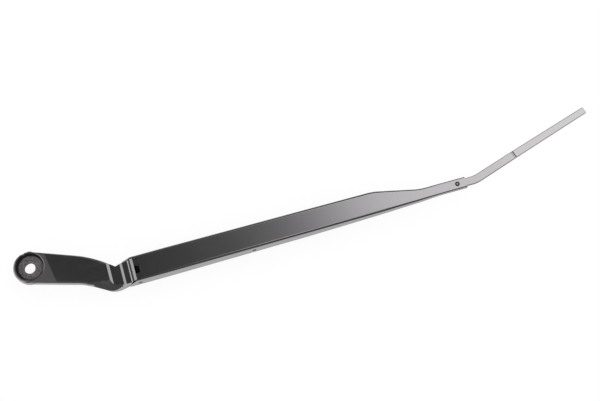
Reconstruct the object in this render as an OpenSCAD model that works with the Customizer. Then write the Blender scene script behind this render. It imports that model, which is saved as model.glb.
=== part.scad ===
// Windscreen wiper arm: a die-cast mounting head, a hinged channel pressed from sheet steel,
// the tension spring and hook inside it, and a flat strip that carries the blade.
// Origin: on the wiper spindle's axis, at the underside of the mounting head.
// +X runs along the channel to the blade end, +Z is up, away from the glass.

/* [Mounting head] */
// Diameter of the round end
head_d = 33.4; // [31.5:0.1:36]
// Height of the round end, from its underside to its rim
head_h = 12.5; // [12:0.1:14]
// Height of the arm-like stretch of the casting
stretch_h = 7.2; // [6:0.1:10]
// Diameter of the nut recess at its rim
recess_d = 28.4; // [26:0.1:29]
// Depth of the nut recess
recess_depth = 5; // [3:0.1:6]
// How much narrower the recess is at its floor
recess_draft = 3.8; // [2:0.1:6]
// Diameter of the straight top of the spindle hole
spindle_d = 11.4; // [9:0.1:12]
// Length of the straight top of the spindle hole
spindle_land = 2.4; // [2:0.1:4]
// Diameter of the spindle hole's taper at the underside
spindle_mouth_d = 14; // [12.2:0.1:15]
// Width of the notch through the rim
notch_w = 3; // [1.5:0.1:4]
// Radius of the rounding along the casting's upper edges
cast_round = 2.2; // [0.8:0.1:2.6]
// How much wider that rounding grows beside the valley
bulge_round = 9.6; // [0:0.1:11]

/* [Hinge] */
// Distance from the spindle to the hinge pin along the channel
hinge_x = 106.4; // [102:0.1:110]
// Distance from the spindle to the channel's middle, sideways
hinge_y = 31.3; // [30:0.1:33]
// Depth of the hinge pin below the channel's top
hinge_drop = 9.2; // [8.9:0.1:9.6]
// Diameter of the hinge pin
hinge_pin_d = 5; // [4.4:0.1:5.2]
// Radius of the barrel round the hinge pin
barrel_r = 7; // [6.6:0.1:7.2]
// Wall of the hinge bushes
bush_wall = 1; // [0.8:0.1:1.2]
// Thickness of the hinge bushes' flanges
bush_flange_t = 0.6; // [0.4:0.1:0.8]
// Depth of the valley across the casting
valley_depth = 1.45; // [1:0.05:2]

/* [Channel] */
// Thickness of the sheet
sheet = 1.2; // [1:0.1:1.4]
// Outer width of the channel at the hinge
channel_w = 27.4; // [26.6:0.1:28.5]
// Outer height of the channel at the hinge
channel_h = 16.5; // [15.5:0.1:18]
// Distance from the spindle to where the shoulder starts
shoulder_x = 365; // [352:1:370]
// Distance from the spindle to where the neck starts
neck_x = 414; // [405:1:425]
// Distance from the spindle to the end of the neck
channel_end_x = 463; // [456:1:472]
// Outer width of the neck
neck_w = 11.6; // [11.2:0.1:12.4]
// Outer radius of the bend along the channel's top edges
bend_r = 2.4; // [2:0.1:2.8]

/* [Blade strip] */
// Width of the strip at its free end
strip_tip_w = 7.4; // [7:0.1:8.4]
// Thickness of the strip
strip_t = 3; // [2.5:0.1:3.2]
// Angle through which the strip turns beside the neck
strip_turn = 17.5; // [10:0.5:20]
// Angle by which its last stretch dips towards the glass
strip_dip = 2.5; // [1:0.5:6]
// Length from the turn to the dip
strip_mid = 45; // [35:0.5:55]
// Length from the dip to the free end
strip_last = 96; // [80:0.5:100]
// Diameter of the rivet that holds the strip
rivet_d = 3.2; // [2.8:0.1:3.6]

/* [Spring and hook] */
// Distance from the hinge pin to the spring's anchor pin
anchor_reach = 122.5; // [115:0.5:130]
// Outer diameter of the spring
spring_d = 9; // [8.4:0.1:9.4]
// Diameter of the spring's wire
wire_d = 1.8; // [1.6:0.1:2]
// Number of turns in the spring
spring_turns = 28; // [24:1:30]
// Diameter of the pin in the head that the hook pulls on
link_pin_d = 4.4; // [4:0.1:4.6]
// Width of the hook's strap
link_w = 8; // [6:0.1:8.2]
// Thickness of the hook's strap
link_t = 2.5; // [2.2:0.1:2.8]

/* [Hidden] */

// Clearances between fitted pieces
running_gap = 0.05;
side_gap = 0.1;
swing_gap = 0.5;
eps = 0.01;

// Levels, measured from the underside of the head
top_z = head_h;
hinge_z = top_z - hinge_drop;
channel_bottom_z = top_z - channel_h;
stretch_z = top_z - stretch_h;
mid_y = -hinge_y;

// Tongue of the casting, between the channel's ears
ear_inner = channel_w / 2 - sheet;
tongue_w = 2 * (ear_inner - bush_flange_t - side_gap);
slot_w = link_w + 1;
bush_d = hinge_pin_d + 2 * running_gap + 2 * bush_wall;

// Across the casting, measured from the hinge pin
valley_start = -29;
valley_end = -13.4;
valley_run = 2.6;
plateau_end = -7.4;
plateau_undercut = 1.1;
undercut_drop = 3;
groove_z = top_z - 5.6;
recess_lip = 0.6;
recess_middle = [0.75, 0.5];
rim_round = 1.7;
foot_chamfer = 2.8;
steep_round = 5;
rim_start = 0.6;
notch_angle = 103;
notch_depth = 3;
slot_start = -9.8;
ridge_back = -1.9;

// Ridge in front of the hinge, seen from the side and measured from the hinge pin
ridge_z = hinge_drop - sheet - 0.6;
ridge_front = -5.2;
ridge = [[ridge_front, ridge_z - 1.1], [-2.3, ridge_z], [ridge_back, ridge_z], [ridge_back, 0],
    [ridge_front, groove_z - hinge_z]];
gap_floor = bush_d / 2 + 1.6;

// Hook pin, measured from the hinge pin, and the hook's own shape
link_pin_x = -5;
link_pin_z = -5.4;
link_eye_r = link_pin_d / 2 + 2;
link_low = -7.2;
link_corner = [11.4, -5.7];
link_back = 14.2;
link_len = 36;
link_slot_l = wire_d + 3.4;
link_slot_w = wire_d + 0.6;

// Anchor pin, and the line from the hook pin to it
anchor_x = hinge_x + anchor_reach;
anchor_z = hinge_z + 1;
link_x = hinge_x + link_pin_x;
link_z = hinge_z + link_pin_z;
pull_angle = atan2(anchor_z - link_z, anchor_x - link_x);
pull_len = norm([anchor_x - link_x, anchor_z - link_z]);
coil_r = (spring_d - wire_d) / 2;
coil_len = (wire_d + 0.22) * spring_turns;
coil_end = pull_len - coil_r - 6;
coil_start = coil_end - coil_len;
wire_x = link_len - 1.2;
anchor_pin_d = spring_d - 2 * wire_d - 0.4;

// Outline of the channel from above
far_y = mid_y + channel_w / 2;
near_y = mid_y - channel_w / 2;
neck_far_y = near_y + 14.8;
neck_near_y = neck_far_y - neck_w;
nose_x = hinge_x - 13;
plate_x = hinge_x + 2.9;
lip_w = 2.6;
neck_h = strip_t + 2 * sheet + 0.1;
neck_lip_x = neck_x + 19;
neck_bend_r = sheet + side_gap;
taper = 0.8;
taper_start_x = hinge_x + 30;
taper_mid_x = shoulder_x - 81;

// Width of the channel where the anchor pin crosses it
anchor_w = channel_w - 2 * taper * (anchor_x - taper_start_x) / (taper_mid_x - taper_start_x);
pin_inset = 0.1;

// Strip and rivet
strip_w = neck_w - 2 * sheet - 2 * side_gap;
strip_y = neck_far_y - neck_w / 2;
strip_z = top_z - sheet - strip_t;
turn_x = channel_end_x + 6.5;
turn_r = 30;
rivet_x = channel_end_x - 9.5;
strip_start_x = rivet_x - 17.5;
rivet_head = 0.6;
rivet_tail = 0.8;

// A point on a cubic curve through a and d, pulled towards b and c
function curve(a, b, c, d, t) =
    pow(1 - t, 3) * a + 3 * t * pow(1 - t, 2) * b + 3 * t * t * (1 - t) * c + pow(t, 3) * d;

// Where a line from point p touches a circle of radius r round the origin
function touch(p, r, side) =
    let (a = atan2(p.y, p.x) + side * acos(r / norm(p)))
    [r * cos(a), r * sin(a)];

// How far along the bulge beside the valley a place is: nought at its ends, one in its middle
function swell(x) = sin(180 * min(1, max(0, (x - hinge_x + 50) / 36)));

// A point at distance s from p in direction a
function step(p, s, a) = [p.x + s * cos(a), p.y + s * sin(a)];

// Far edge of the casting: a straight line that swings towards the hinge
far_knee = [hinge_x - 57.5, mid_y + 30.7];
far_corner = [hinge_x - 20.7, mid_y + 8.1];
far_touch = touch(far_knee, head_d / 2, 1);
far_dir = atan2(far_knee.y - far_touch.y, far_knee.x - far_touch.x);

// Near edge of the casting: straight, then bulging before it meets the channel's line
near_knee = [hinge_x - 61.5, mid_y + 0.6];
near_swing = [hinge_x - 33.5, mid_y - 13.6];
near_flush = [hinge_x - 15, near_y];
near_touch = touch(near_knee, head_d / 2, -1);
near_dir = atan2(near_knee.y - near_touch.y, near_knee.x - near_touch.x);

far_curve = [for (t = [0:0.1:1])
    curve(far_knee, step(far_knee, 17, far_dir), step(far_corner, -12, -38), far_corner, t)];
near_curve = [for (t = [0:0.1:1])
    curve(near_knee, step(near_knee, 10, near_dir), step(near_swing, -9, -28), near_swing, t)];
bulge_curve = [for (t = [0.1:0.1:1])
    curve(near_swing, step(near_swing, 8, -28), step(near_flush, -7, 9), near_flush, t)];

tongue_far = mid_y + tongue_w / 2;
tongue_end = hinge_x + barrel_r + 1;
far_run = concat(far_curve, [[hinge_x - 8, tongue_far]]);
far_rim = concat([far_touch], far_run);
near_rim = concat([for (i = [len(bulge_curve) - 1:-1:0]) bulge_curve[i]],
    [for (i = [len(near_curve) - 1:-1:0]) near_curve[i]], [near_touch]);
cast_outline = concat(far_rim, [[tongue_end, tongue_far], [tongue_end, near_y]], near_rim);

// Casting seen from the side: level head, valley, plateau, groove, and a deeper block at the hinge
module casting_side() {
    floor_z = top_z - valley_depth;
    polygon([[-head_d, top_z], [hinge_x + valley_start, top_z],
        [hinge_x + valley_start + valley_run, floor_z], [hinge_x + valley_end - valley_run, floor_z],
        [hinge_x + valley_end, top_z], [hinge_x + plateau_end - 0.5, top_z],
        [hinge_x + plateau_end, top_z - 0.5], [hinge_x + plateau_end - plateau_undercut, top_z - undercut_drop],
        [hinge_x + plateau_end - plateau_undercut, groove_z],
        [hinge_x, groove_z - 3], [hinge_x, hinge_z - barrel_r],
        [hinge_x - 20, hinge_z - barrel_r], [hinge_x - 37, stretch_z], [-head_d, stretch_z]]);
    translate([hinge_x, hinge_z]) {
        polygon(ridge);
        difference() {
            circle(r = barrel_r, $fn = 96);
            translate([ridge_back, gap_floor])
                square(2 * barrel_r);
        }
    }
}

// Extrudes a side view across the whole width of the casting
module across(width) {
    translate([0, mid_y + width / 2, 0])
        rotate([90, 0, 0])
            linear_extrude(width)
                children();
}

// A cylinder along Y, centred on the channel's middle
module cross_pin(x, z, d, width) {
    translate([x, mid_y + width / 2, z])
        rotate([90, 0, 0])
            cylinder(d = d, h = width, $fn = 64);
}

// Rounds the casting's top edge between two points of its outline, which runs clockwise, from radius ra to rb
module edge_cut(a, b, ra, rb, first) {
    out = [a.y - b.y, b.x - a.x, 0] / norm(b - a);
    up = [0, 0, 1];
    for (tilt = [first:16:max(ra, rb) > steep_round ? 50 : 80]) {
        inward = (sin(tilt) - 1) * out + (cos(tilt) - 1) * up;
        from = [a.x, a.y, top_z] + ra * inward;
        to = [b.x, b.y, top_z] + rb * inward;
        along = (to - from) / norm(to - from);
        square_on = cross(along, cos(tilt) * out - sin(tilt) * up);
        normal = square_on / norm(square_on);
        aside = cross(normal, along);
        multmatrix([[along.x, aside.x, normal.x, from.x], [along.y, aside.y, normal.y, from.y],
            [along.z, aside.z, normal.z, from.z], [0, 0, 0, 1]])
            translate([-0.3, -max(ra, rb), 0])
                cube([norm(to - from) + 0.6, 2 * max(ra, rb), max(ra, rb)]);
    }
}

// The same along a whole list of points; the rounding widens where wide is above nought
module rim_cuts(points, wide) {
    for (i = [0:len(points) - 2])
        edge_cut(points[i], points[i + 1], cast_round + wide * swell(points[i].x),
            cast_round + wide * swell(points[i + 1].x), 12 + 2 * (i % 2));
}

// What the round end leaves free: the recess and the hole
module round_end_space() {
    floor_z = head_h - recess_depth;
    translate(recess_middle) {
        translate([0, 0, floor_z])
            cylinder(d1 = recess_d - recess_draft, d2 = recess_d, h = recess_depth - recess_lip, $fn = 128);
        translate([0, 0, head_h - recess_lip])
            cylinder(d1 = recess_d, d2 = recess_d + 4 * recess_lip, h = 2 * recess_lip, $fn = 128);
    }
    translate([0, 0, floor_z - spindle_land - eps])
        cylinder(d = spindle_d, h = spindle_land + 1, $fn = 96);
    translate([0, 0, -1])
        cylinder(d = spindle_mouth_d, h = 1, $fn = 96);
    cylinder(d1 = spindle_mouth_d, d2 = spindle_d, h = floor_z - spindle_land, $fn = 96);
}

module mounting_head() {
    color([0.12, 0.12, 0.13])
        difference() {
            union() {
                intersection() {
                    translate([0, 0, top_z - 40])
                        linear_extrude(60)
                            polygon(cast_outline);
                    across(120)
                        casting_side();
                }
                cylinder(d = head_d, h = head_h, $fn = 128);
                cross_pin(link_x, link_z, link_pin_d + 3.2, tongue_w);
            }
            round_end_space();
            head_rim_cuts();
            rim_cuts(concat([step(far_touch, rim_start, far_dir)], far_run), 0);
            rim_cuts(near_rim, bulge_round);
            ear_space();
            hook_slot();
            cross_pin(hinge_x, hinge_z, bush_d, 60);
            cross_pin(link_x, link_z, link_pin_d, 60);
        }
}

// Notch through the rim, the rounding round it and the chamfer round the foot
module head_rim_cuts() {
    rotate([0, 0, notch_angle])
        translate([recess_d / 2 - 3, -notch_w / 2, head_h - notch_depth])
            cube([head_d, notch_w, 10]);
    difference() {
        translate([0, 0, head_h - rim_round])
            cylinder(d = head_d + 8, h = 5, $fn = 128);
        translate([0, 0, head_h - rim_round])
            rotate_extrude($fn = 128)
                intersection() {
                    translate([head_d / 2 - rim_round, 0])
                        circle(r = rim_round, $fn = 32);
                    square(head_d);
                }
        translate([0, 0, head_h - rim_round - eps])
            cylinder(d = head_d - 2 * rim_round, h = 9, $fn = 128);
        translate([2, -60, 0])
            cube([200, 120, 60]);
    }
    translate([0, 0, -eps])
        difference() {
            cylinder(d = head_d + 8, h = foot_chamfer, $fn = 128);
            cylinder(d1 = head_d - 2 * foot_chamfer, d2 = head_d, h = foot_chamfer + eps, $fn = 128);
        }
}

// Room beside the tongue for the channel's ears, at rest and as they swing
module ear_space() {
    for (side = [-1, 1])
        translate([0, mid_y + side * (tongue_w / 2 + 15) + 15, 0])
            rotate([90, 0, 0]) {
                linear_extrude(30)
                    polygon([[hinge_x - 2.6, top_z + 5], [hinge_x - 3.1, top_z], [nose_x - 0.8, top_z - 11.2],
                        [nose_x - 0.8, -30], [hinge_x + 40, -30], [hinge_x + 40, top_z + 5]]);
                translate([hinge_x, hinge_z, 0])
                    cylinder(r = norm([plate_x - hinge_x, hinge_drop]) + swing_gap, h = 30, $fn = 96);
            }
}

// Slot up the middle of the tongue in which the hook turns; it ends at the ridge's back
module hook_slot() {
    translate([hinge_x + slot_start, mid_y - slot_w / 2, hinge_z - 30])
        cube([60, slot_w, 30]);
    translate([hinge_x + ridge_back, mid_y - slot_w / 2, hinge_z - 30])
        cube([60, slot_w, 60]);
    cross_pin(hinge_x, hinge_z, 2 * gap_floor - 1, slot_w);
}

module hinge_pin() {
    color([0.2, 0.2, 0.21])
        difference() {
            cross_pin(hinge_x, hinge_z, hinge_pin_d, channel_w - 2 * pin_inset);
            for (side = [-1, 1])
                translate([hinge_x, mid_y + side * (channel_w / 2 - pin_inset), hinge_z])
                    rotate([90, 0, 0])
                        cylinder(d = 1.6, h = 1.2, center = true, $fn = 32);
        }
}

module hinge_bush(side) {
    color([0.75, 0.72, 0.6])
        translate([hinge_x, mid_y, hinge_z])
            rotate([side * 90, 0, 0])
                difference() {
                    union() {
                        translate([0, 0, slot_w / 2])
                            cylinder(d = bush_d, h = (tongue_w - slot_w) / 2 + bush_flange_t, $fn = 64);
                        translate([0, 0, tongue_w / 2])
                            cylinder(d = bush_d + 3, h = bush_flange_t, $fn = 64);
                    }
                    cylinder(d = hinge_pin_d + 2 * running_gap, h = 40, $fn = 64);
                }
}

module link_pin() {
    color([0.6, 0.6, 0.62])
        cross_pin(link_x, link_z, link_pin_d, tongue_w - 0.6);
}

// One straight stretch of the hook's strap, between two points of its side view
module strap_run(a, b) {
    hull() {
        translate(a)
            circle(d = link_t, $fn = 32);
        translate(b)
            circle(d = link_t, $fn = 32);
    }
}

// Hook in its own frame: the pin's eye at the origin, the spring's slot at link_len
module spring_link() {
    color([0.45, 0.45, 0.47])
        translate([link_x, mid_y, link_z])
            rotate([0, -pull_angle, 0])
                difference() {
                    translate([0, link_w / 2, 0])
                        rotate([90, 0, 0])
                            linear_extrude(link_w) {
                                circle(r = link_eye_r, $fn = 64);
                                strap_run([0.6, -2.2], [3.2, link_low + 0.5]);
                                strap_run([3.2, link_low + 0.5], [6.6, link_low]);
                                strap_run([6.6, link_low], link_corner);
                                strap_run(link_corner, [link_back, 0]);
                                strap_run([link_back, 0], [link_len + 3.6, 0]);
                            }
                    rotate([90, 0, 0])
                        cylinder(d = link_pin_d + 2 * running_gap, h = 20, center = true, $fn = 64);
                    for (dx = [-1, 1])
                        translate([link_len + dx * (link_slot_l - link_slot_w) / 2, 0, 0])
                            cylinder(d = link_slot_w, h = 10, center = true, $fn = 48);
                    translate([link_len, 0, 0])
                        cube([link_slot_l - link_slot_w, link_slot_w, 10], center = true);
                }
}

// Wire wound along X, as rings of points joined into one skin; it starts and ends at the top
module coil(turns, r, wire, length) {
    per_turn = 12;
    sides = 6;
    count = turns * per_turn;
    slope = atan2(length / turns, 2 * PI * r);
    points = [for (i = [0:count]) for (j = [0:sides - 1])
        let (a = 90 + 360 * i / per_turn, b = 360 * j / sides, out = r + wire / 2 * cos(b),
            off = wire / 2 * sin(b))
        [length * i / count + off * cos(slope),
            out * cos(a) + off * sin(slope) * sin(a), out * sin(a) - off * sin(slope) * cos(a)]];
    skin = [for (i = [0:count - 1]) for (j = [0:sides - 1]) for (half = [0, 1])
        let (k = (j + 1) % sides, p = i * sides, q = p + sides)
        half == 0 ? [p + j, p + k, q + k] : [p + j, q + k, q + j]];
    start_cap = [[for (j = [0:sides - 1]) sides - 1 - j]];
    end_cap = [[for (j = [0:sides - 1]) count * sides + j]];
    polyhedron(points, concat(skin, start_cap, end_cap), convexity = 10);
}

// Part of a ring of wire in the XZ plane, from one angle to another
module wire_ring(x, from, to) {
    translate([x, 0, 0])
        rotate([90, 0, 0])
            rotate([0, 0, from])
                rotate_extrude(angle = to - from, $fn = 64)
                    translate([coil_r, 0])
                        circle(d = wire_d, $fn = 24);
}

// Straight wire along the top of the coil
module wire_leg(x0, x1) {
    translate([x0, 0, coil_r])
        rotate([0, 90, 0])
            cylinder(d = wire_d, h = x1 - x0, $fn = 24);
}

// Spring in the hook's frame, with a loop on the anchor pin and a hook through the strap's slot
module tension_spring() {
    color([0.5, 0.5, 0.53])
        translate([link_x, mid_y, link_z])
            rotate([0, -pull_angle, 0]) {
                translate([coil_start, 0, 0])
                    coil(spring_turns, coil_r, wire_d, coil_len);
                wire_leg(coil_end, pull_len);
                wire_ring(pull_len, -205, 90);
                wire_leg(wire_x + coil_r, coil_start);
                wire_ring(wire_x + coil_r, 90, 300);
            }
}

module anchor_pin() {
    color([0.2, 0.2, 0.21])
        cross_pin(anchor_x, anchor_z, anchor_pin_d, anchor_w - 2 * pin_inset);
}

// Stations along the channel: distance, far edge, near edge, lower edge and outer bend radius
channel_stations = [
    [nose_x - 1, far_y, near_y, channel_bottom_z, bend_r],
    [taper_start_x, far_y, near_y, channel_bottom_z, bend_r],
    [taper_mid_x, far_y - taper, near_y + taper, channel_bottom_z + 2, bend_r],
    [shoulder_x - 34, far_y - 1.1, near_y + 1.1, channel_bottom_z + 4.6, bend_r],
    [shoulder_x, far_y - 1.3, near_y + 1.35, channel_bottom_z + 6.8, bend_r],
    [neck_x, neck_far_y, neck_near_y - 0.8, top_z - 7.2, (bend_r + neck_bend_r) / 2],
    [neck_x + 17, neck_far_y, neck_near_y, top_z - neck_h, neck_bend_r],
    [channel_end_x, neck_far_y, neck_near_y, top_z - neck_h, neck_bend_r]];

// Quarter or half of a bend, as points from one angle to another about a centre
function bend(y, z, r, from, to) = [for (k = [0:6])
    let (a = from + (to - from) * k / 6)
    [y + r * cos(a), z + r * sin(a)]];

// Section of the folded sheet at one station, round the outside and back round the inside
function channel_section(s) =
    let (out = s[4], in = s[4] - sheet, zc = top_z - out)
    concat([[s[1], s[3]]], bend(s[1] - out, zc, out, 0, 90), bend(s[2] + out, zc, out, 90, 180),
        [[s[2], s[3]], [s[2] + sheet, s[3]]], bend(s[2] + out, zc, in, 180, 90),
        bend(s[1] - out, zc, in, 90, 0), [[s[1] - sheet, s[3]]]);

// Skin over the sections at all the stations, with an end across the sheet's thickness at each
module folded_sheet(stations) {
    n = len(channel_section(stations[0]));
    last = (len(stations) - 1) * n;
    points = [for (s = stations) for (p = channel_section(s)) [s[0], p.x, p.y]];
    skin = [for (i = [0:len(stations) - 2]) for (j = [0:n - 1]) for (half = [0, 1])
        let (k = (j + 1) % n, p = i * n, q = p + n)
        half == 0 ? [p + j, q + j, q + k] : [p + j, q + k, p + k]];
    first_end = [for (j = [0:n / 2 - 2]) for (half = [0, 1])
        half == 0 ? [j, j + 1, n - 2 - j] : [j, n - 2 - j, n - 1 - j]];
    last_end = [for (f = first_end) [last + f[2], last + f[1], last + f[0]]];
    polyhedron(points, concat(first_end, skin, last_end), convexity = 10);
}

// Side view of what is cut away in front of the ears' slanted noses
module nose_cut() {
    polygon([[nose_x - 20, top_z + 5], [hinge_x - 2.3, top_z + 5], [hinge_x - 2.5, top_z],
        [nose_x, top_z - 11], [nose_x + 0.4, top_z - 14.4], [nose_x + 3.4, channel_bottom_z],
        [nose_x + 3.4, channel_bottom_z - 5], [nose_x - 20, channel_bottom_z - 5]]);
}

module channel() {
    color([0.13, 0.13, 0.14])
        difference() {
            union() {
                folded_sheet(channel_stations);
                neck_lips();
            }
            across(60)
                nose_cut();
            translate([nose_x - 10, mid_y - ear_inner, top_z - 30])
                cube([plate_x - nose_x + 10, 2 * ear_inner, 40]);
            cross_pin(hinge_x, hinge_z, hinge_pin_d, 60);
            cross_pin(anchor_x, anchor_z, anchor_pin_d, 60);
            translate([rivet_x, strip_y, 0])
                cylinder(d = rivet_d, h = 60, $fn = 48);
        }
}

// Lips folded in under the strip, along the end of the neck
module neck_lips() {
    for (y = [neck_near_y + sheet / 2, neck_far_y - lip_w])
        translate([neck_lip_x, y, top_z - neck_h])
            cube([channel_end_x - neck_lip_x, lip_w - sheet / 2, sheet]);
}

module strip_rivet() {
    color([0.3, 0.3, 0.31])
        difference() {
            union() {
                translate([rivet_x, strip_y, strip_z - rivet_tail])
                    cylinder(d = rivet_d, h = rivet_tail + strip_t + sheet + rivet_head / 2, $fn = 48);
                translate([rivet_x, strip_y, top_z])
                    cylinder(d1 = rivet_d + 1.8, d2 = rivet_d + 0.9, h = rivet_head, $fn = 48);
                translate([rivet_x, strip_y, strip_z - rivet_tail])
                    cylinder(d = rivet_d + 0.6, h = rivet_tail, $fn = 48);
            }
            translate([rivet_x, strip_y, top_z - rivet_head])
                cylinder(d1 = 0.8, d2 = 1.8, h = 2 * rivet_head + 0.1, $fn = 32);
        }
}

// The strip's flat outline up to the dip: straight in the neck, then turned through an arc
module strip_flat(w0, w1) {
    linear_extrude(strip_t)
        polygon(concat(strip_side(w0, w1, 1), strip_side_back(w0, w1, -1)));
}

// Middle line of the strip beyond the arc, and one side of the outline
arc_end = [turn_x + turn_r * sin(strip_turn), strip_y + turn_r * (1 - cos(strip_turn))];
dip_at = step(arc_end, strip_mid, strip_turn);
function strip_side(w0, w1, side) = concat(
    [[strip_start_x, strip_y + side * w0 / 2]],
    [for (k = [0:8]) let (a = strip_turn * k / 8)
        [turn_x + (turn_r - side * w0 / 2) * sin(a),
            strip_y + turn_r - (turn_r - side * w0 / 2) * cos(a)]],
    [step(dip_at, side * w1 / 2, strip_turn + 90)]);
function strip_side_back(w0, w1, side) =
    let (s = strip_side(w0, w1, side))
    [for (i = [len(s) - 1:-1:0]) s[i]];

module blade_strip() {
    dip_w = strip_w + (strip_tip_w - strip_w) * strip_mid / (strip_mid + strip_last);
    color([0.55, 0.55, 0.57])
        difference() {
            union() {
                translate([0, 0, strip_z])
                    strip_flat(strip_w, dip_w);
                translate([dip_at.x, dip_at.y, strip_z])
                    rotate([0, 0, strip_turn])
                        rotate([0, strip_dip, 0])
                            linear_extrude(strip_t)
                                polygon([[-0.05, dip_w / 2], [strip_last, strip_tip_w / 2],
                                    [strip_last, -strip_tip_w / 2], [-0.05, -dip_w / 2]]);
            }
            translate([rivet_x, strip_y, 0])
                cylinder(d = rivet_d, h = 60, $fn = 48);
        }
}

mounting_head();
hinge_pin();
hinge_bush(1);  // near_hinge_bush
hinge_bush(-1);  // far_hinge_bush
link_pin();
spring_link();
tension_spring();
anchor_pin();
channel();
strip_rivet();
blade_strip();
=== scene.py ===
"""Looks of a windscreen wiper arm, dressed on its CAD frame, with a small white studio."""

import math

import bmesh
import bpy
from mathutils import Matrix, Vector


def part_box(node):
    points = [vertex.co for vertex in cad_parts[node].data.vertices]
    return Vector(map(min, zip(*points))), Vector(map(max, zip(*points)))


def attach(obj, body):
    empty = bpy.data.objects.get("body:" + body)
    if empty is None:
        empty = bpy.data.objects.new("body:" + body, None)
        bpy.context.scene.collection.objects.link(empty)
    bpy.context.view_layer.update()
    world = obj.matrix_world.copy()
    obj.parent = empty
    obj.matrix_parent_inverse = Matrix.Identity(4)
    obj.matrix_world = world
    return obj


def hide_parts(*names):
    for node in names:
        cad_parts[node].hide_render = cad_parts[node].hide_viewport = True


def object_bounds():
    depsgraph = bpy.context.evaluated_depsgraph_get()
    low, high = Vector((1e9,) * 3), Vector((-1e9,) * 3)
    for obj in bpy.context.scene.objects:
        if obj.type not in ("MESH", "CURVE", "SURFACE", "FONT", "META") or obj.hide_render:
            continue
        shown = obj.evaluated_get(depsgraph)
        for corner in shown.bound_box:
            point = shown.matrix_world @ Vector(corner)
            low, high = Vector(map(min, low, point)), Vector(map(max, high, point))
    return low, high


bl_info = {
    "name": "Wiper arm",
    "version": (1, 0, 0),
    "blender": (4, 5, 0),
    "location": "View3D > Sidebar > Wiper arm",
    "description": "Builds the looks of a windscreen wiper arm piece by piece",
    "category": "Object",
}

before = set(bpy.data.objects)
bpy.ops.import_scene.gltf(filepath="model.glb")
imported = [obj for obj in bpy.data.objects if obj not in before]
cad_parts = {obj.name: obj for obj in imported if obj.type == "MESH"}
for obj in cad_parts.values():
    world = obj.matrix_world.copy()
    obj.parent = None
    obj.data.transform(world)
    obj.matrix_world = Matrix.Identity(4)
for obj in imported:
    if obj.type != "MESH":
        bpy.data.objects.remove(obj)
cad_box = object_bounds()


def centre(node):
    """Middle of a CAD node's box."""
    low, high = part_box(node)
    return (low + high) / 2


# Places from the CAD frame, in metres

HINGE = centre("hinge_pin")
HOOK_PIN = centre("link_pin")
ANCHOR = centre("anchor_pin")
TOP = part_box("channel")[1].z

# A quarter turn, and the distance under which points are merged

QUARTER = math.radians(90)
MERGE = 1e-6

# The casting's nut recess: its axis, its radii and the height of its floor

RECESS = Vector((0.00075, 0.0005, 0))
FLOOR_RADIUS = 0.0124
WALL_RADIUS = 0.0141
RIM_RADIUS = 0.0152
FLOOR_TOP = 0.0076

# The line across the casting, beyond which its top leans to the round end: x at y = 0, and x lost per y

LEAN_X = 0.02
LEAN_SKEW = 0.18

# Paint: the depth of its peel, the strength of the casting's bump, and the crease at the strip's dip

PEEL = 0.00002
CAST_STRENGTH = 0.5
CREASE_HEIGHT = 90.0
CREASE_HALF = 0.002
SATIN = {"IOR": 2.45, "Specular IOR Level": 1.0}


def tilt(degrees):
    """Slope of the casting's bump height, per metre, that tilts its surface by an angle."""
    return math.tan(math.radians(degrees)) / (CAST_STRENGTH * PEEL)


# Sizes and colours


def length(name, description, default):
    """A size in metres."""
    return bpy.props.FloatProperty(
        name=name, description=description, default=default, min=0.0, precision=4,
        subtype="DISTANCE", unit="LENGTH")


def angle(name, description, degrees):
    """An angle, stored in radians."""
    return bpy.props.FloatProperty(
        name=name, description=description, default=math.radians(degrees),
        subtype="ANGLE", unit="ROTATION")


def share(name, description, default, high=1.0):
    """A plain number from nought."""
    return bpy.props.FloatProperty(
        name=name, description=description, default=default, min=0.0, max=high)


def colour(name, description, default):
    """A linear colour."""
    return bpy.props.FloatVectorProperty(
        name=name, description=description, default=default, size=3, min=0.0, max=1.0, subtype="COLOR")


class ChannelSizes(bpy.types.PropertyGroup):
    """Sizes of the channel folded from sheet steel."""

    width: length("Width", "Outer width at the hinge", 0.0274)
    height: length("Height", "Outer height at the hinge", 0.0165)
    sheet: length("Sheet", "Thickness of the sheet", 0.0012)
    bend: length("Bend", "Outer radius of the long bends", 0.0024)
    neck_bend: length("Neck bend", "Outer radius of the bends along the neck", 0.0013)
    plate_gap: length("Plate gap", "From the hinge pin to the front edge of the top", 0.0029)
    nose: length("Nose", "From the hinge pin to the tips of the ears", 0.013)
    shoulder: length("Shoulder", "From the spindle to where the shoulder starts", 0.365)
    neck: length("Neck", "From the spindle to where the neck starts", 0.414)
    end: length("End", "From the spindle to the end of the neck", 0.463)
    neck_width: length("Neck width", "Outer width of the neck", 0.0116)
    neck_offset: length("Neck offset", "From the channel's near side to the neck's far side", 0.0148)
    neck_height: length("Neck height", "Outer height of the neck", 0.0055)
    lip: length("Lip", "Width of the lips folded under the strip", 0.0026)
    rounding: length("Rounding", "How far the shoulder's corners are rounded", 0.006)


class StripSizes(bpy.types.PropertyGroup):
    """Sizes of the flat strip that carries the blade."""

    root_width: length("Root width", "Width inside the neck", 0.009)
    tip_width: length("Tip width", "Width at the free end", 0.0074)
    thickness: length("Thickness", "Thickness of the strip", 0.003)
    turn: angle("Turn", "Angle through which the strip turns beside the neck", 17.5)
    turn_radius: length("Turn radius", "Radius of that turn", 0.03)
    turn_start: length("Turn start", "From the neck's end to where that turn starts", 0.0065)
    dip: angle("Dip", "Angle by which the last stretch dips to the glass", 2.5)
    middle: length("Middle", "Length from the turn to the dip", 0.045)
    last: length("Last", "Length from the dip to the free end", 0.096)
    edge: length("Edge", "Radius of the strip's long edges", 0.0009)


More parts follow.
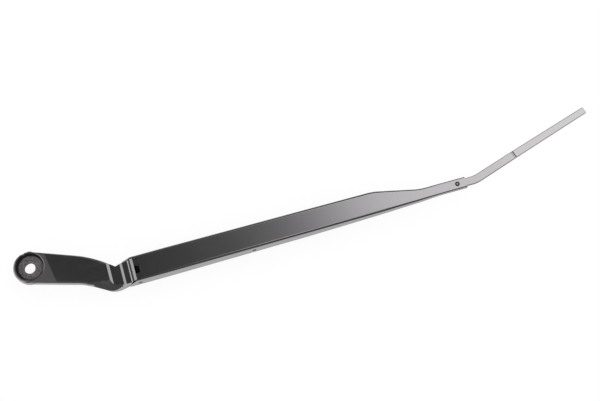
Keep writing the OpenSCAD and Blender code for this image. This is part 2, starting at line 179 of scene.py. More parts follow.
class SpringSizes(bpy.types.PropertyGroup):
    """Sizes of the tension spring."""

    diameter: length("Diameter", "Outer diameter of the coil", 0.009)
    wire: length("Wire", "Diameter of the wire", 0.0018)
    turns: bpy.props.IntProperty(name="Turns", description="Number of turns", default=28, min=3)
    pitch_gap: length("Pitch gap", "Gap between one turn and the next", 0.00022)
    hook_reach: length("Hook reach", "From the hook's pin to the wire in its slot", 0.0348)


class Finishes(bpy.types.PropertyGroup):
    """Colours and gloss of the painted and the plated pieces."""

    black: colour("Black paint", "Colour of the paint", (0.012, 0.012, 0.013))
    black_gloss: share("Paint roughness", "Roughness of the paint", 0.13)
    grit: colour("Grit", "Mean colour of the recess's grainy floor", (0.15, 0.137, 0.138))
    bare: colour("Plated steel", "Colour of the plated steel", (0.42, 0.42, 0.44))
    bush: colour("Bush plastic", "Colour of the hinge bushes", (0.68, 0.64, 0.52))


class StudioSettings(bpy.types.PropertyGroup):
    """Floor, light and camera."""

    floor_drop: length("Floor drop", "Gap between the floor and the lowest piece", 0.0005)
    card_height: length("Card height", "Height of the light card over the floor", 2.5)
    card_light: share("Card light", "Brightness at the bright end of the light card", 2.2, 10.0)
    lens: share("Lens", "Focal length of the camera in millimetres", 71.4, 300.0)


# Shader sums


class Socket:
    """An output of a shader node. Sums with it add Math nodes."""

    def __init__(self, shader, link):
        self.shader, self.link = shader, link

    def made(self, operation, *values):
        """A Math node's result."""
        return self.shader.node("ShaderNodeMath", {"operation": operation}, dict(enumerate(values)))

    def __add__(self, other):
        return self.made("ADD", self, other)

    def __radd__(self, other):
        return self.made("ADD", other, self)

    def __sub__(self, other):
        return self.made("SUBTRACT", self, other)

    def __rsub__(self, other):
        return self.made("SUBTRACT", other, self)

    def __mul__(self, other):
        return self.made("MULTIPLY", self, other)

    def __rmul__(self, other):
        return self.made("MULTIPLY", other, self)

    def __truediv__(self, other):
        return self.made("DIVIDE", self, other)

    def __pow__(self, other):
        return self.made("POWER", self, other)

    def at_least(self, least):
        """The larger of this and a number."""
        return self.made("MAXIMUM", least, self)


class Shader:
    """A node tree that is built from Python."""

    def __init__(self, tree):
        self.tree = tree
        tree.nodes.clear()

    def node(self, kind, settings=None, sockets=None, output=0):
        """Adds a node: its settings first, then the values or links of its sockets."""
        made = self.tree.nodes.new(kind)
        for name, value in (settings or {}).items():
            if name == "stops":
                ramp = made.color_ramp.elements
                while len(ramp) < len(value):
                    ramp.new(0.5)
                for stop, (place, grey) in zip(ramp, value):
                    stop.position, stop.color = place, (grey, grey, grey, 1)
            else:
                setattr(made, name, value)
        for name, value in (sockets or {}).items():
            if isinstance(value, Socket):
                self.tree.links.new(value.link, made.inputs[name])
            else:
                made.inputs[name].default_value = value
        return Socket(self, made.outputs[output])

    def place(self):
        """Where a point lies on its object, in metres."""
        return self.node("ShaderNodeTexCoord", output="Object")

    def parts(self, vector):
        """The three numbers of a vector."""
        return [self.node("ShaderNodeSeparateXYZ", None, {0: vector}, output=i) for i in range(3)]

    def noise(self, scale, detail, vector=None):
        """Soft noise from nought to one; scale is in cells per metre."""
        return self.node("ShaderNodeTexNoise", None, {
            "Vector": vector or self.place(), "Scale": scale, "Detail": detail, "Roughness": 0.55})

    def fade(self, value, low, high):
        """Nought below low, one above high, smooth between."""
        return self.node("ShaderNodeMapRange", {"interpolation_type": "SMOOTHSTEP"}, {
            "Value": value, "From Min": low, "From Max": high, "To Min": 0.0, "To Max": 1.0})

    def mix(self, factor, a, b):
        """A colour between a and b."""
        return self.node("ShaderNodeMix", {"data_type": "RGBA"}, {0: factor, 6: a, 7: b}, output=2)

    def bump(self, height, distance, strength):
        """A normal from a height between nought and one."""
        return self.node("ShaderNodeBump", None, {
            "Height": height, "Distance": distance, "Strength": strength})

    def principled(self, sockets):
        """A Principled shader."""
        return self.node("ShaderNodeBsdfPrincipled", None, sockets)

    def surface(self, shader, kind="ShaderNodeOutputMaterial"):
        """Ends the tree."""
        out = self.tree.nodes.new(kind)
        self.tree.links.new(shader.link, out.inputs["Surface"])

    def seen_rays(self):
        """One for rays that look straight at, off or through something."""
        rays = [self.node("ShaderNodeLightPath", output=name) for name in (
            "Is Camera Ray", "Is Glossy Ray", "Is Transmission Ray")]
        return self.node("ShaderNodeClamp", None, {0: rays[0] + rays[1] + rays[2]})


def material(name):
    """A new material and its shader."""
    made = bpy.data.materials.new(name)
    made.use_nodes = True
    return made, Shader(made.node_tree)


def rgba(colour_value, gain):
    """A colour with full alpha, lightened or darkened."""
    return (*(min(1.0, c * gain) for c in colour_value), 1.0)


def painted(name, finishes, grain=1.0, crease=None):
    """Satin black paint with a fine orange peel, slight clouds, and a crease where one is bent."""
    made, shader = material(name)
    clouds = shader.noise(38.0, 2.0)
    peel = shader.noise(1100.0, 3.0)
    fine = shader.noise(5200.0, 2.0)
    height = peel + 0.4 * fine
    if crease:
        direction, at = crease
        x, y = shader.parts(shader.place())[:2]
        along = math.cos(direction) * x + math.sin(direction) * y
        before = shader.fade(along, at - CREASE_HALF, at)
        after = shader.fade(along, at, at + CREASE_HALF)
        height = height - CREASE_HEIGHT * (before * (1 - after))
    shader.surface(shader.principled({
        "Base Color": shader.mix(clouds, rgba(finishes.black, 0.8), rgba(finishes.black, 1.3)),
        "Roughness": finishes.black_gloss + 0.05 * (clouds - 0.5) + 0.05 * (fine - 0.5),
        "Normal": shader.bump(height, PEEL * grain, 0.35), **SATIN}))
    return made


def recess_masks(shader, x, y, z):
    """The recess's grainy floor, its wall dulled as painted shade, and the depth of a point inside its
    rounded right rim.
    """
    from_x, from_y = x - RECESS.x, y - RECESS.y
    radius = (from_x * from_x + from_y * from_y) ** 0.5
    low = 1 - shader.fade(z, FLOOR_TOP, FLOOR_TOP + 0.0006)
    floor_mask = (1 - shader.fade(radius, FLOOR_RADIUS, FLOOR_RADIUS + 0.0003)) * low
    # Painted shade: the recess's wall loses its gloss so it reads darker. The band is wider on the left and
    # left out on the right.
    left = 1 - shader.fade(x, -0.006, 0.002)
    not_right = 1 - shader.fade(from_x - from_y, 0.003, 0.006)
    in_shaded_wall = 1 - shader.fade(radius - 0.0006 * left, WALL_RADIUS, WALL_RADIUS + 0.0002)
    wall_shade_mask = in_shaded_wall * (1 - low) * not_right
    rim = (RIM_RADIUS - radius).at_least(0.0) * shader.fade(from_x - 0.3 * from_y, 0.0, 0.006)
    return floor_mask, wall_shade_mask, rim


def cast_paint(name, finishes):
    """The casting's paint: dull in the recess, its wall dulled as painted shade, with a lighter lean of the
    round end's top and rim.
    """
    made, shader = material(name)
    x, y, z = shader.parts(shader.place())
    floor_mask, wall_shade_mask, rim = recess_masks(shader, x, y, z)
    lean = (LEAN_X - LEAN_SKEW * y - x).at_least(0.0)
    clouds = shader.noise(45.0, 2.0)
    peel = shader.noise(900.0, 3.0)
    grit = shader.noise(900.0, 4.0)
    black = shader.mix(clouds, rgba(finishes.black, 0.8), rgba(finishes.black, 1.4))
    gritty = shader.mix(shader.fade(grit, 0.38, 0.62), rgba(finishes.grit, 0.45), rgba(finishes.grit, 1.4))
    satin = shader.principled({
        "Base Color": black, "Roughness": finishes.black_gloss + 0.06 * (clouds - 0.5), **SATIN,
        "Normal": shader.bump(peel - tilt(2.5) * lean - tilt(36) * rim, PEEL, CAST_STRENGTH)})
    # Dull shader for the recess: its grainy floor, and its wall as painted shade.
    dull = shader.principled({
        "Base Color": shader.mix(floor_mask, black, gritty), "Roughness": 0.6 + 0.2 * peel,
        "IOR": 1.4, "Specular IOR Level": 0.3,
        "Normal": shader.bump(peel + 3.0 * grit, PEEL, CAST_STRENGTH)})
    # Painted shade: where the wall takes this mix it turns darker, as if shade fell in the recess.
    grit_and_wall_shade = wall_shade_mask + floor_mask
    shader.surface(shader.node("ShaderNodeMixShader", None, {0: grit_and_wall_shade, 1: satin, 2: dull}))
    return made


def plated(name, finishes, gain, rough):
    """Plated steel with fine drawing marks."""
    made, shader = material(name)
    along = shader.node(
        "ShaderNodeMapping", None, {"Vector": shader.place(), "Scale": (1.0, 14.0, 14.0)})
    marks = shader.noise(700.0, 3.0, along)
    dull = shader.noise(220.0, 2.0)
    tone = shader.mix(shader.fade(marks * 0.6 + dull * 0.4, 0.35, 0.65),
                      rgba(finishes.bare, 0.7 * gain), rgba(finishes.bare, 1.15 * gain))
    shader.surface(shader.principled({
        "Base Color": tone, "Metallic": 1.0, "Roughness": rough + 0.14 * (dull - 0.5),
        "Normal": shader.bump(marks, PEEL, 0.3)}))
    return made


def moulded(name, finishes):
    """Pale moulded plastic with a faint mottle."""
    made, shader = material(name)
    mottle = shader.noise(900.0, 3.0)
    shader.surface(shader.principled({
        "Base Color": shader.mix(mottle, rgba(finishes.bush, 0.85), rgba(finishes.bush, 1.1)),
        "Roughness": 0.42 + 0.1 * (mottle - 0.5), "Normal": shader.bump(mottle, PEEL, 0.3)}))
    return made


# Shapes


def sweep(bm, sections, closed=False):
    """Extrudes the first section's edges through all the others."""
    verts = [bm.verts.new(p) for p in sections[0]]
    pairs = zip(verts, verts[1:] + verts[:1]) if closed else zip(verts, verts[1:])
    edges = [bm.edges.new(pair) for pair in pairs]
    first = edges
    for points in sections[1:]:
        made = bmesh.ops.extrude_edge_only(bm, edges=edges)["geom"]
        fresh = [g for g in made if isinstance(g, bmesh.types.BMVert)]
        verts = [min(fresh, key=lambda f: (f.co - v.co).length_squared) for v in verts]
        for vert, point in zip(verts, points):
            vert.co = point
        edges = [g for g in made if isinstance(g, bmesh.types.BMEdge)]
    return first, edges


def turned(bm, profile, place, steps=48):
    """Spins a profile of (distance along the axis, radius) round the Z axis, then places it."""
    old = set(bm.verts)
    verts = [bm.verts.new((radius, 0, along)) for along, radius in profile]
    edges = [bm.edges.new(pair) for pair in zip(verts, verts[1:])]
    bmesh.ops.spin(bm, geom=verts + edges, cent=(0, 0, 0), axis=(0, 0, 1), dvec=(0, 0, 0),
                   angle=math.radians(360), steps=steps, use_merge=True)
    fresh = [v for v in bm.verts if v not in old]
    bmesh.ops.remove_doubles(bm, verts=fresh, dist=MERGE)
    fresh = [v for v in bm.verts if v not in old]
    bmesh.ops.transform(bm, matrix=place, verts=fresh)


def outwards(bm):
    """Merges doubles and points closed skins outwards."""
    bmesh.ops.remove_doubles(bm, verts=bm.verts, dist=MERGE)
    bmesh.ops.recalc_face_normals(bm, faces=bm.faces)


def piece(name, bm, body, look, node, sharp):
    """Makes an object of a bmesh, sets it on its body and lets it take the place of a CAD node."""
    mesh = bpy.data.meshes.new(name)
    bm.to_mesh(mesh)
    bm.free()
    mesh.shade_smooth()
    mesh.set_sharp_from_angle(angle=math.radians(sharp))
    obj = bpy.data.objects.new(name, mesh)
    bpy.context.scene.collection.objects.link(obj)
    mesh.materials.append(look)
    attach(obj, body)
    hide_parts(node)
    return obj


def round_edges(obj, width, segments, sharp):
    """Rounds the edges sharper than an angle in degrees and keeps the faces flat."""
    bevel = obj.modifiers.new("rounded edges", "BEVEL")
    bevel.width, bevel.segments, bevel.limit_method = width, segments, "ANGLE"
    bevel.angle_limit = math.radians(sharp)
    bevel.use_clamp_overlap = True
    flat = obj.modifiers.new("flat faces", "WEIGHTED_NORMAL")
    flat.mode, flat.weight, flat.keep_sharp = "FACE_AREA", 80, False


def copied(node):
    """A bmesh of a CAD node's surface, with its loose triangles joined into flat faces."""
    bm = bmesh.new()
    bm.from_mesh(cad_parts[node].data)
    bmesh.ops.remove_doubles(bm, verts=bm.verts, dist=2 * MERGE)
    bmesh.ops.dissolve_limit(bm, angle_limit=math.radians(0.6), use_dissolve_boundaries=False,
                             verts=bm.verts, edges=bm.edges, delimit=set())
    return bm


def repaint(node, look):
    """Gives a CAD node that is shown as it is its own finish."""
    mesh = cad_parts[node].data
    mesh.materials.clear()
    mesh.materials.append(look)


def between(x, points):
    """Height of a broken line through points (x, value)."""
    for (x0, v0), (x1, v1) in zip(points, points[1:]):
        if x <= x1:
            return v0 + (v1 - v0) * max(0.0, (x - x0) / (x1 - x0))
    return points[-1][1]


def eased(x, points, reach):
    """The same with its corners rounded over the reach."""
    steps = [x + reach * k / 6 for k in range(-6, 7)]
    return sum(between(s, points) for s in steps) / len(steps)


# Pieces


class ARM_OT_mounting_head(bpy.types.Operator):
    """Casting that clamps on the spindle, with rounded edges"""

    bl_idname = "arm.mounting_head"
    bl_label = "Mounting head"

    def execute(self, context):
        look = cast_paint("cast black paint", context.scene.arm_finishes)
        head = piece("cast_mounting_head", copied("mounting_head"), "head", look,
                     "mounting_head", sharp=20)
        round_edges(head, 0.00015, 2, sharp=20)
        return {"FINISHED"}


class ARM_OT_channel(bpy.types.Operator):
    """Channel folded from sheet, from the ears at the hinge to the neck"""

    bl_idname = "arm.channel"
    bl_label = "Channel"

    def execute(self, context):
        size = context.scene.arm_channel
        near = HINGE.y - size.width / 2
        neck_far = near + size.neck_offset
        neck_near = neck_far - size.neck_width
        evened = size.neck + 0.017
        front = HINGE.x + 0.03
        lines = self.fold_lines(size, front, evened, neck_near, neck_far)
        tips = HINGE.x - size.nose - 0.001
        plate = HINGE.x + size.plate_gap
        coarse, fine = 0.0115, 0.003
        stations = [tips, HINGE.x - 0.0024, plate, HINGE.x + 0.0145, front]
        stations += [front + coarse * k for k in range(1, 18)]
        stations += [size.shoulder + fine * k for k in range(-7, 20)]
        stations += [evened + 0.002, evened + 0.013, size.end]
        bm = bmesh.new()
        sweep(bm, [self.section(x, lines, min(size.rounding, size.end - x)) for x in sorted(set(stations))])
        self.shape_front(bm, size, plate, tips)
        self.fold_lips(bm, size, evened + 0.0015, neck_near, neck_far)
        outwards(bm)
        top = max(bm.faces, key=lambda f: f.calc_area() * abs(f.normal.z))
        if top.normal.z < 0:
            bmesh.ops.reverse_faces(bm, faces=bm.faces)
        look = painted("channel black paint", context.scene.arm_finishes)
        made = piece("pressed_channel", bm, "arm", look, "channel", sharp=40)
        wall = made.modifiers.new("sheet", "SOLIDIFY")
        wall.thickness, wall.offset, wall.use_even_offset = size.sheet, -1, True
        round_edges(made, 0.0003, 2, sharp=50)
        return {"FINISHED"}

    def fold_lines(self, size, front, evened, neck_near, neck_far):
        """Broken lines (x, value) of the fold's sides, lower edge and bend radius, from front to end."""
        far, near = HINGE.y + size.width / 2, HINGE.y - size.width / 2
        bottom, neck_bottom = TOP - size.height, TOP - size.neck_height
        middle, late = size.shoulder - 0.081, size.shoulder - 0.034
        return {
            "far": [(front, far), (middle, far - 0.0008), (late, far - 0.0011),
                    (size.shoulder, far - 0.0013), (size.neck, neck_far), (size.end, neck_far)],
            "near": [(front, near), (middle, near + 0.0008), (late, near + 0.0011),
                     (size.shoulder, near + 0.00135), (size.neck, neck_near - 0.0008),
                     (evened, neck_near), (size.end, neck_near)],
            "low": [(front, bottom), (middle, bottom + 0.002), (late, bottom + 0.0046),
                    (size.shoulder, bottom + 0.0068), (size.neck, neck_bottom - 0.0017),
                    (evened, neck_bottom), (size.end, neck_bottom)],
            "bend": [(size.shoulder, size.bend), (size.neck, (size.bend + size.neck_bend) / 2),
                     (evened, size.neck_bend), (size.end, size.neck_bend)],
        }

    def section(self, x, lines, reach):
        """Outside of the fold at a distance from the spindle, from the far lower edge to the near one."""
        far, near, low, bend = (eased(x, lines[k], reach) for k in ("far", "near", "low", "bend"))
        wide, tall = 1.2 * bend, 0.92 * bend
        arc = [(wide * (1 - math.cos(a)), TOP - tall * (1 - math.sin(a)))
               for a in map(math.radians, (0, 15, 30, 45, 60, 72, 82, 90))]
        far_arc = [(x, far - inward, z) for inward, z in arc]
        near_arc = [(x, near + inward, z) for inward, z in reversed(arc)]
        return [(x, far, low), *far_arc, *near_arc, (x, near, low)]

    def shape_front(self, bm, size, plate, tips):
        """Cuts the ears' slanted noses and takes the top away before its front edge."""
        cuts = (((HINGE.x - 0.0025, TOP), (-0.011, 0.0105)),
                ((tips + 0.0014, TOP - 0.0144), (-0.0021, -0.003)))
        for point, direction in cuts:
            bmesh.ops.bisect_plane(bm, geom=bm.verts[:] + bm.edges[:] + bm.faces[:], dist=MERGE / 10,
                                   plane_co=(point[0], 0, point[1]),
                                   plane_no=(direction[0], 0, direction[1]), clear_outer=True)
        inner = size.width / 2 - size.sheet
        open_part = [f for f in bm.faces if f.calc_center_median().x < plate
                     and abs(f.calc_center_median().y - HINGE.y) < inner]
        bmesh.ops.delete(bm, geom=open_part, context="FACES")

    def fold_lips(self, bm, size, start, neck_near, neck_far):
        """Folds the lower edges in under the strip."""
        near_enough = 1e-4
        for side, y in ((1, neck_near), (-1, neck_far)):
            edges = [e for e in bm.edges if e.is_boundary
                     and all(v.co.x > start and abs(v.co.y - y) < near_enough for v in e.verts)
                     and all(v.co.z < TOP - size.neck_height + near_enough for v in e.verts)
                     and abs(e.verts[0].co.x - e.verts[1].co.x) > near_enough]
            made = bmesh.ops.extrude_edge_only(bm, edges=edges)["geom"]
            fresh = [g for g in made if isinstance(g, bmesh.types.BMVert)]
            bmesh.ops.translate(bm, vec=(0, side * size.lip, 0), verts=fresh)


class ARM_OT_blade_strip(bpy.types.Operator):
    """Flat strip for the blade, turned beside the neck and dipped to the glass"""

    bl_idname = "arm.blade_strip"
    bl_label = "Blade strip"

    def execute(self, context):
        size = context.scene.arm_strip
        rivet = centre("strip_rivet")
        top = TOP - context.scene.arm_channel.sheet
        turn_x = context.scene.arm_channel.end + size.turn_start
        path = [(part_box("blade_strip")[0].x, rivet.y, 0.0)]
        steps = 12
        for k in range(steps + 1):
            a = size.turn * k / steps
            path.append((turn_x + size.turn_radius * math.sin(a),
                         rivet.y + size.turn_radius * (1 - math.cos(a)), a))
        sections = [self.section(size, x, y, a, size.root_width, top, 0.0) for x, y, a in path]
        x, y, a = path[-1]
        sloping = size.last * math.cos(size.dip)
        runs = [(size.middle * part, 0.0) for part in (0.5, 0.96, 1.04)]
        runs += [(size.middle + sloping * part, size.dip) for part in (0.35, 0.7, 1.0)]
        for gone, dip in runs:
            taper = gone / (size.middle + size.last)
            width = size.root_width + (size.tip_width - size.root_width) * taper
            drop = max(0.0, gone - size.middle) * math.tan(size.dip)
            sections.append(self.section(size, x + gone * math.cos(a), y + gone * math.sin(a), a,
                                         width, top - drop, dip))
        bm = bmesh.new()
        for end in sweep(bm, sections, closed=True):
            bmesh.ops.holes_fill(bm, edges=end, sides=4)
        outwards(bm)
        crease = (a, x * math.cos(a) + y * math.sin(a) + size.middle)
        look = painted("strip paint", context.scene.arm_finishes, 0.6, crease)
        made = piece("strip_for_blade", bm, "arm", look, "blade_strip", sharp=40)
        round_edges(made, size.edge, 3, sharp=50)
        return {"FINISHED"}

    def section(self, size, x, y, turned_by, width, top, dip):
        """Four corners of the strip's section."""
        along_x, along_y = math.cos(turned_by), math.sin(turned_by)
        side = Vector((-along_y, along_x, 0)) * width / 2
        lean = math.sin(dip)
        down = Vector((-along_x * lean, -along_y * lean, -math.cos(dip))) * size.thickness
        at = Vector((x, y, top))
        return [at + side, at - side, at - side + down, at + side + down]


class ARM_OT_strip_rivet(bpy.types.Operator):
    """Hollow-ended rivet through the neck and the strip"""

    bl_idname = "arm.strip_rivet"
    bl_label = "Strip rivet"

    def execute(self, context):
        low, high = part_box("strip_rivet")
        middle = centre("strip_rivet")
        over, tall = TOP - low.z, high.z - low.z
        shank, foot, rim, dimple = 0.0016, 0.0019, 0.0025, 0.0012
        profile = [(0.0, 0.0), (0.0, foot - 0.0002), (0.0002, foot), (0.0008, foot), (0.0008, shank),
                   (over, shank), (over, rim - 0.0001), (over + 0.0002, rim), (tall - 0.0001, rim - 0.00035),
                   (tall, foot), (tall, dimple), (tall - 0.0001, dimple - 0.0002),
                   (tall - 0.0009, dimple / 2), (tall - 0.001, 0.0)]
        bm = bmesh.new()
        turned(bm, profile, Matrix.Translation((middle.x, middle.y, low.z)), 40)
        outwards(bm)
        look = plated("dark rivet steel", context.scene.arm_finishes, 0.15, 0.3)
        piece("neck_rivet", bm, "arm", look, "strip_rivet", sharp=50)
        return {"FINISHED"}


class ARM_OT_pins(bpy.types.Operator):
    """Hinge pin, anchor pin and hook pin, with their ends broken"""

    bl_idname = "arm.pins"
    bl_label = "Pins"

    def execute(self, context):
        dark = plated("dark pin steel", context.scene.arm_finishes, 0.06, 0.5)
        bright = plated("bright pin steel", context.scene.arm_finishes, 1.0, 0.28)
        proud = 0.00025
        for name, node, body, more, look, slot in (
                ("peened_hinge_pin", "hinge_pin", "arm", proud, dark, "pin_steel"),
                ("spring_anchor_pin", "anchor_pin", "arm", proud, dark, "pin_steel"),
                ("hook_pull_pin", "link_pin", "head", 0.0, bright, "bright_steel")):
            low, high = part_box(node)
            radius = (high.z - low.z) / 2
            half = (high.y - low.y) / 2 + more
            dish = 0.35 * radius
            side = [(half - 0.0005, dish * 0.6), (half - 0.0001, dish), (half, dish * 1.4),
                    (half, radius * 0.8), (half - 0.0003, radius * 0.97), (half - 0.0006, radius)]
            profile = [(-half + 0.0005, 0.0), *[(-z, r) for z, r in side],
                       *reversed(side), (half - 0.0005, 0.0)]
            bm = bmesh.new()
            turned(bm, profile, Matrix.Translation(centre(node)) @ Matrix.Rotation(QUARTER, 4, "X"))
            outwards(bm)
            piece(name, bm, body, look, node, sharp=50)
        return {"FINISHED"}


class ARM_OT_hinge_bushes(bpy.types.Operator):
    """The two flanged bushes in the casting's hinge hole"""

    bl_idname = "arm.hinge_bushes"
    bl_label = "Hinge bushes"

    def execute(self, context):
        look = moulded("bush plastic", context.scene.arm_finishes)
        for node in ("near_hinge_bush", "far_hinge_bush"):
            repaint(node, look)
        return {"FINISHED"}


class ARM_OT_spring_link(bpy.types.Operator):
    """Bent hook that joins the spring to the head"""

    bl_idname = "arm.spring_link"
    bl_label = "Spring link"

    def execute(self, context):
        look = plated("plated hook steel", context.scene.arm_finishes, 0.8, 0.36)
        hook = piece("pulling_hook", copied("spring_link"), "hook", look,
                     "spring_link", sharp=30)
        round_edges(hook, 0.0003, 2, sharp=40)
        return {"FINISHED"}


class ARM_OT_tension_spring(bpy.types.Operator):
    """Close-wound spring with a loop at one end and a hook at the other"""

    bl_idname = "arm.tension_spring"
    bl_label = "Tension spring"
    wire_sides = 12

    def execute(self, context):
        size = context.scene.arm_spring
        line = ANCHOR - HOOK_PIN
        reach = math.hypot(line.x, line.z)
        radius, wire = (size.diameter - size.wire) / 2, size.wire / 2
        coil = (size.wire + size.pitch_gap) * size.turns
        coil_end = reach - radius - 0.006
        coil_start = coil_end - coil
        hook_at = size.hook_reach + radius
        steps = size.turns * 24
        bm = bmesh.new()
        self.wound(bm, coil_start, (1, 0, 0), radius, wire, "X", size.turns * 360, steps, coil / steps)
        self.straight(bm, coil_end, reach, radius, wire)
        self.straight(bm, hook_at, coil_start, radius, wire)
        self.wound(bm, reach, (0, 1, 0), radius, wire, "Y", 295, 40)
        self.wound(bm, hook_at, (0, -1, 0), radius, wire, "Y", 210, 30)
        slope = Matrix.Rotation(-math.atan2(line.z, line.x), 4, "Y")
        bmesh.ops.transform(bm, matrix=Matrix.Translation(HOOK_PIN) @ slope, verts=bm.verts)
        outwards(bm)
        look = plated("spring wire", context.scene.arm_finishes, 0.9, 0.3)
        piece("coil_spring", bm, "spring", look, "tension_spring", sharp=60)
        return {"FINISHED"}

    def wound(self, bm, x, axis, radius, wire, plane, degrees, steps, rise=0.0):
        """Winds the wire round an axis through x. Its section starts above, turned about X or Y."""
        middle = Vector((x, 0, 0))
        start = Matrix.Translation(middle + Vector((0, 0, radius))) @ Matrix.Rotation(QUARTER, 4, plane)
        section = bmesh.ops.create_circle(bm, cap_ends=True, cap_tris=False, segments=self.wire_sides,
                                          radius=wire)["verts"]
        bmesh.ops.transform(bm, matrix=start, verts=section)
        faces = list({f for v in section for f in v.link_faces})
        bmesh.ops.spin(bm, geom=faces, cent=middle, axis=axis, dvec=(rise, 0, 0),
                       angle=math.radians(degrees), steps=steps, use_merge=False)

    def straight(self, bm, start, end, height, wire):
        """A straight stretch of wire along the top of the coil."""
        place = Matrix.Translation(((start + end) / 2, 0, height)) @ Matrix.Rotation(QUARTER, 4, "Y")
        bmesh.ops.create_cone(bm, cap_ends=True, cap_tris=False, segments=self.wire_sides,
                              radius1=wire, radius2=wire, depth=end - start, matrix=place)


# Studio

# The floor: its middle, half its size, its glow, its grey, and the share of the glow that is seen

FLOOR_MIDDLE, FLOOR_HALF = (0.3, 0.0), (6.0, 6.0)
FLOOR_GLOW, FLOOR_GREY, FLOOR_SEEN = 1.04, 0.88, 0.86

# The card: its middle, half its size, how its steps of light lean, its tint, how much brighter its near
# side is over the channel, and its grey by the share of the way across it

CARD_MIDDLE, CARD_HALF = (0.6, 0.66), (1.8, 1.2)
CARD_LEAN, CARD_LEAN_FROM = 0.18, 0.7
CARD_TINT = (1.0, 0.965, 0.995, 1)
CARD_NEAR_GAIN = 5.0
CARD_GREYS = [
    (0.0, 0.1), (0.2, 0.1), (0.214, 0.022), (0.31, 0.026), (0.35, 0.04), (0.39, 0.062), (0.421, 0.085),
    (0.445, 0.13), (0.463, 0.18), (0.48, 0.26), (0.5, 0.37), (0.518, 0.5), (0.544, 0.6), (0.6, 0.68),
    (0.7, 0.76), (1.0, 0.86)]

# The world as gloss sees it: heights between which it darkens, x x - y y between which its sides stay
# white, and how much darker it is

HORIZON, SIDES, DARKER = (-0.02, 0.06), (0.05, 0.2), 0.88

# The camera's place and the directions of its picture's right and top

CAMERA_AT = (0.1882, -0.3591, 1.2074)
CAMERA_RIGHT = Vector((0.9613, -0.2755, 0.0))
CAMERA_UP = Vector((0.2634, 0.9193, 0.2924))


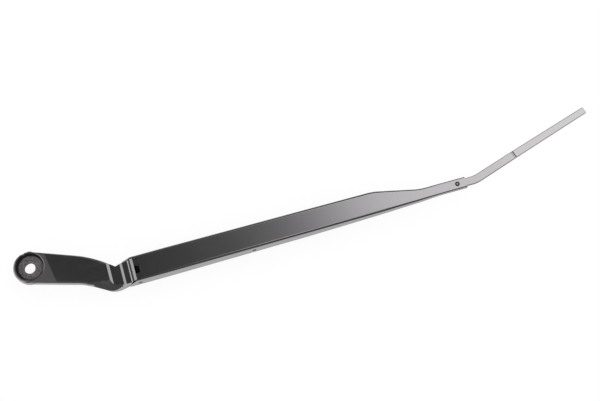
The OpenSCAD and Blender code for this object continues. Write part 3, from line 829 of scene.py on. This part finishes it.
class ARM_OT_studio(bpy.types.Operator):
    """White floor, graded light card, world and camera"""

    bl_idname = "arm.studio"
    bl_label = "Studio"

    def execute(self, context):
        studio = context.scene.arm_studio
        self.floor(studio)
        self.light_card(studio)
        self.world(context.scene)
        self.camera(context.scene, studio)
        context.scene.view_settings.view_transform = "Standard"
        return {"FINISHED"}

    def sheet(self, name, middle, height, half, look):
        """A flat rectangle of the stage."""
        bm = bmesh.new()
        place = Matrix.Translation((*middle, height)) @ Matrix.Diagonal((*half, 1, 1))
        bmesh.ops.create_grid(bm, x_segments=1, y_segments=1, size=1.0, matrix=place)
        mesh = bpy.data.meshes.new(name)
        bm.to_mesh(mesh)
        bm.free()
        obj = bpy.data.objects.new(name, mesh)
        bpy.context.scene.collection.objects.link(obj)
        mesh.materials.append(look)
        return obj

    def floor(self, studio):
        """White floor that keeps a faint shadow."""
        made, shader = material("white floor")
        white = shader.node("ShaderNodeEmission", None, {"Color": (1, 1, 1, 1), "Strength": FLOOR_GLOW})
        matt = shader.node("ShaderNodeBsdfDiffuse", None, {"Color": (*[FLOOR_GREY] * 3, 1)})
        shader.surface(shader.node("ShaderNodeMixShader", None, {
            0: FLOOR_SEEN * shader.seen_rays(), 1: matt, 2: white}))
        self.sheet("studio_floor", FLOOR_MIDDLE, cad_box[0].z - studio.floor_drop, FLOOR_HALF, made)

    def light_card(self, studio):
        """Card over the arm whose light rises from its left to its right."""
        made, shader = material("light card")
        x, y = shader.parts(shader.place())[:2]
        left_edge = CARD_MIDDLE[0] - CARD_HALF[0]
        across = (x + CARD_LEAN * (y - CARD_LEAN_FROM) - left_edge) / (2 * CARD_HALF[0])
        level = shader.node("ShaderNodeValToRGB", {"stops": CARD_GREYS}, {0: across})
        over_channel = shader.fade(across, 0.3, 0.36) * (1 - shader.fade(across, 0.4, 0.5))
        near_side = 1 + CARD_NEAR_GAIN * (1 - shader.fade(y, 0.1, 0.4)) * over_channel
        shader.surface(shader.node("ShaderNodeEmission", None, {
            "Color": shader.mix(level, (0, 0, 0, 1), CARD_TINT), "Strength": studio.card_light * near_side}))
        card = self.sheet("light_card", CARD_MIDDLE, studio.card_height, CARD_HALF, made)
        card.visible_camera = False

    def world(self, scene):
        """White, but dark above the horizon in gloss, except at its two sides, so that edges show."""
        scene.world = bpy.data.worlds.new("studio world")
        scene.world.use_nodes = True
        shader = Shader(scene.world.node_tree)
        x, y, z = shader.parts(shader.node("ShaderNodeTexCoord", output="Generated"))
        overhead = shader.fade(z, *HORIZON) * (1 - shader.fade(x * x - y * y, *SIDES))
        camera = shader.node("ShaderNodeLightPath", output="Is Camera Ray")
        glossy = shader.node("ShaderNodeLightPath", output="Is Glossy Ray")
        level = 1 - DARKER * overhead * glossy * (1 - camera)
        shader.surface(shader.node("ShaderNodeBackground", None, {
            "Color": (1, 1, 1, 1), "Strength": level}), "ShaderNodeOutputWorld")

    def camera(self, scene, studio):
        """Camera where the picture was taken from."""
        data = bpy.data.cameras.new("camera")
        data.lens, data.sensor_width = studio.lens, 36.0
        data.clip_start, data.clip_end = 0.05, 50.0
        camera = bpy.data.objects.new("camera", data)
        scene.collection.objects.link(camera)
        back = CAMERA_RIGHT.cross(CAMERA_UP).normalized()
        axes = (CAMERA_RIGHT.normalized(), back.cross(CAMERA_RIGHT).normalized(), back)
        camera.matrix_world = Matrix.Translation(CAMERA_AT) @ Matrix(axes).transposed().to_4x4()
        scene.camera = camera


class ARM_PT_panel(bpy.types.Panel):
    """Lists the pieces of the arm"""

    bl_idname = "ARM_PT_panel"
    bl_label = "Wiper arm"
    bl_space_type = "VIEW_3D"
    bl_region_type = "UI"
    bl_category = "Wiper arm"

    def draw(self, context):
        for operator in PIECES:
            self.layout.operator(operator.bl_idname)
        for group in GROUPS:
            settings = getattr(context.scene, group)
            box = self.layout.box()
            for name in settings.__annotations__:
                box.prop(settings, name)


GROUPS = {
    "arm_channel": ChannelSizes,
    "arm_strip": StripSizes,
    "arm_spring": SpringSizes,
    "arm_finishes": Finishes,
    "arm_studio": StudioSettings,
}
PIECES = (ARM_OT_mounting_head, ARM_OT_channel, ARM_OT_blade_strip, ARM_OT_strip_rivet, ARM_OT_pins,
          ARM_OT_hinge_bushes, ARM_OT_spring_link, ARM_OT_tension_spring, ARM_OT_studio)


def register():
    for made in (*GROUPS.values(), *PIECES, ARM_PT_panel):
        bpy.utils.register_class(made)
    for name, group in GROUPS.items():
        setattr(bpy.types.Scene, name, bpy.props.PointerProperty(type=group))


def unregister():
    for name in GROUPS:
        delattr(bpy.types.Scene, name)
    for made in reversed((*GROUPS.values(), *PIECES, ARM_PT_panel)):
        bpy.utils.unregister_class(made)


def main():
    register()
    bpy.ops.arm.mounting_head()
    bpy.ops.arm.channel()
    bpy.ops.arm.blade_strip()
    bpy.ops.arm.strip_rivet()
    bpy.ops.arm.pins()
    bpy.ops.arm.hinge_bushes()
    bpy.ops.arm.spring_link()
    bpy.ops.arm.tension_spring()
    bpy.ops.arm.studio()


if __name__ == "__main__":
    main()
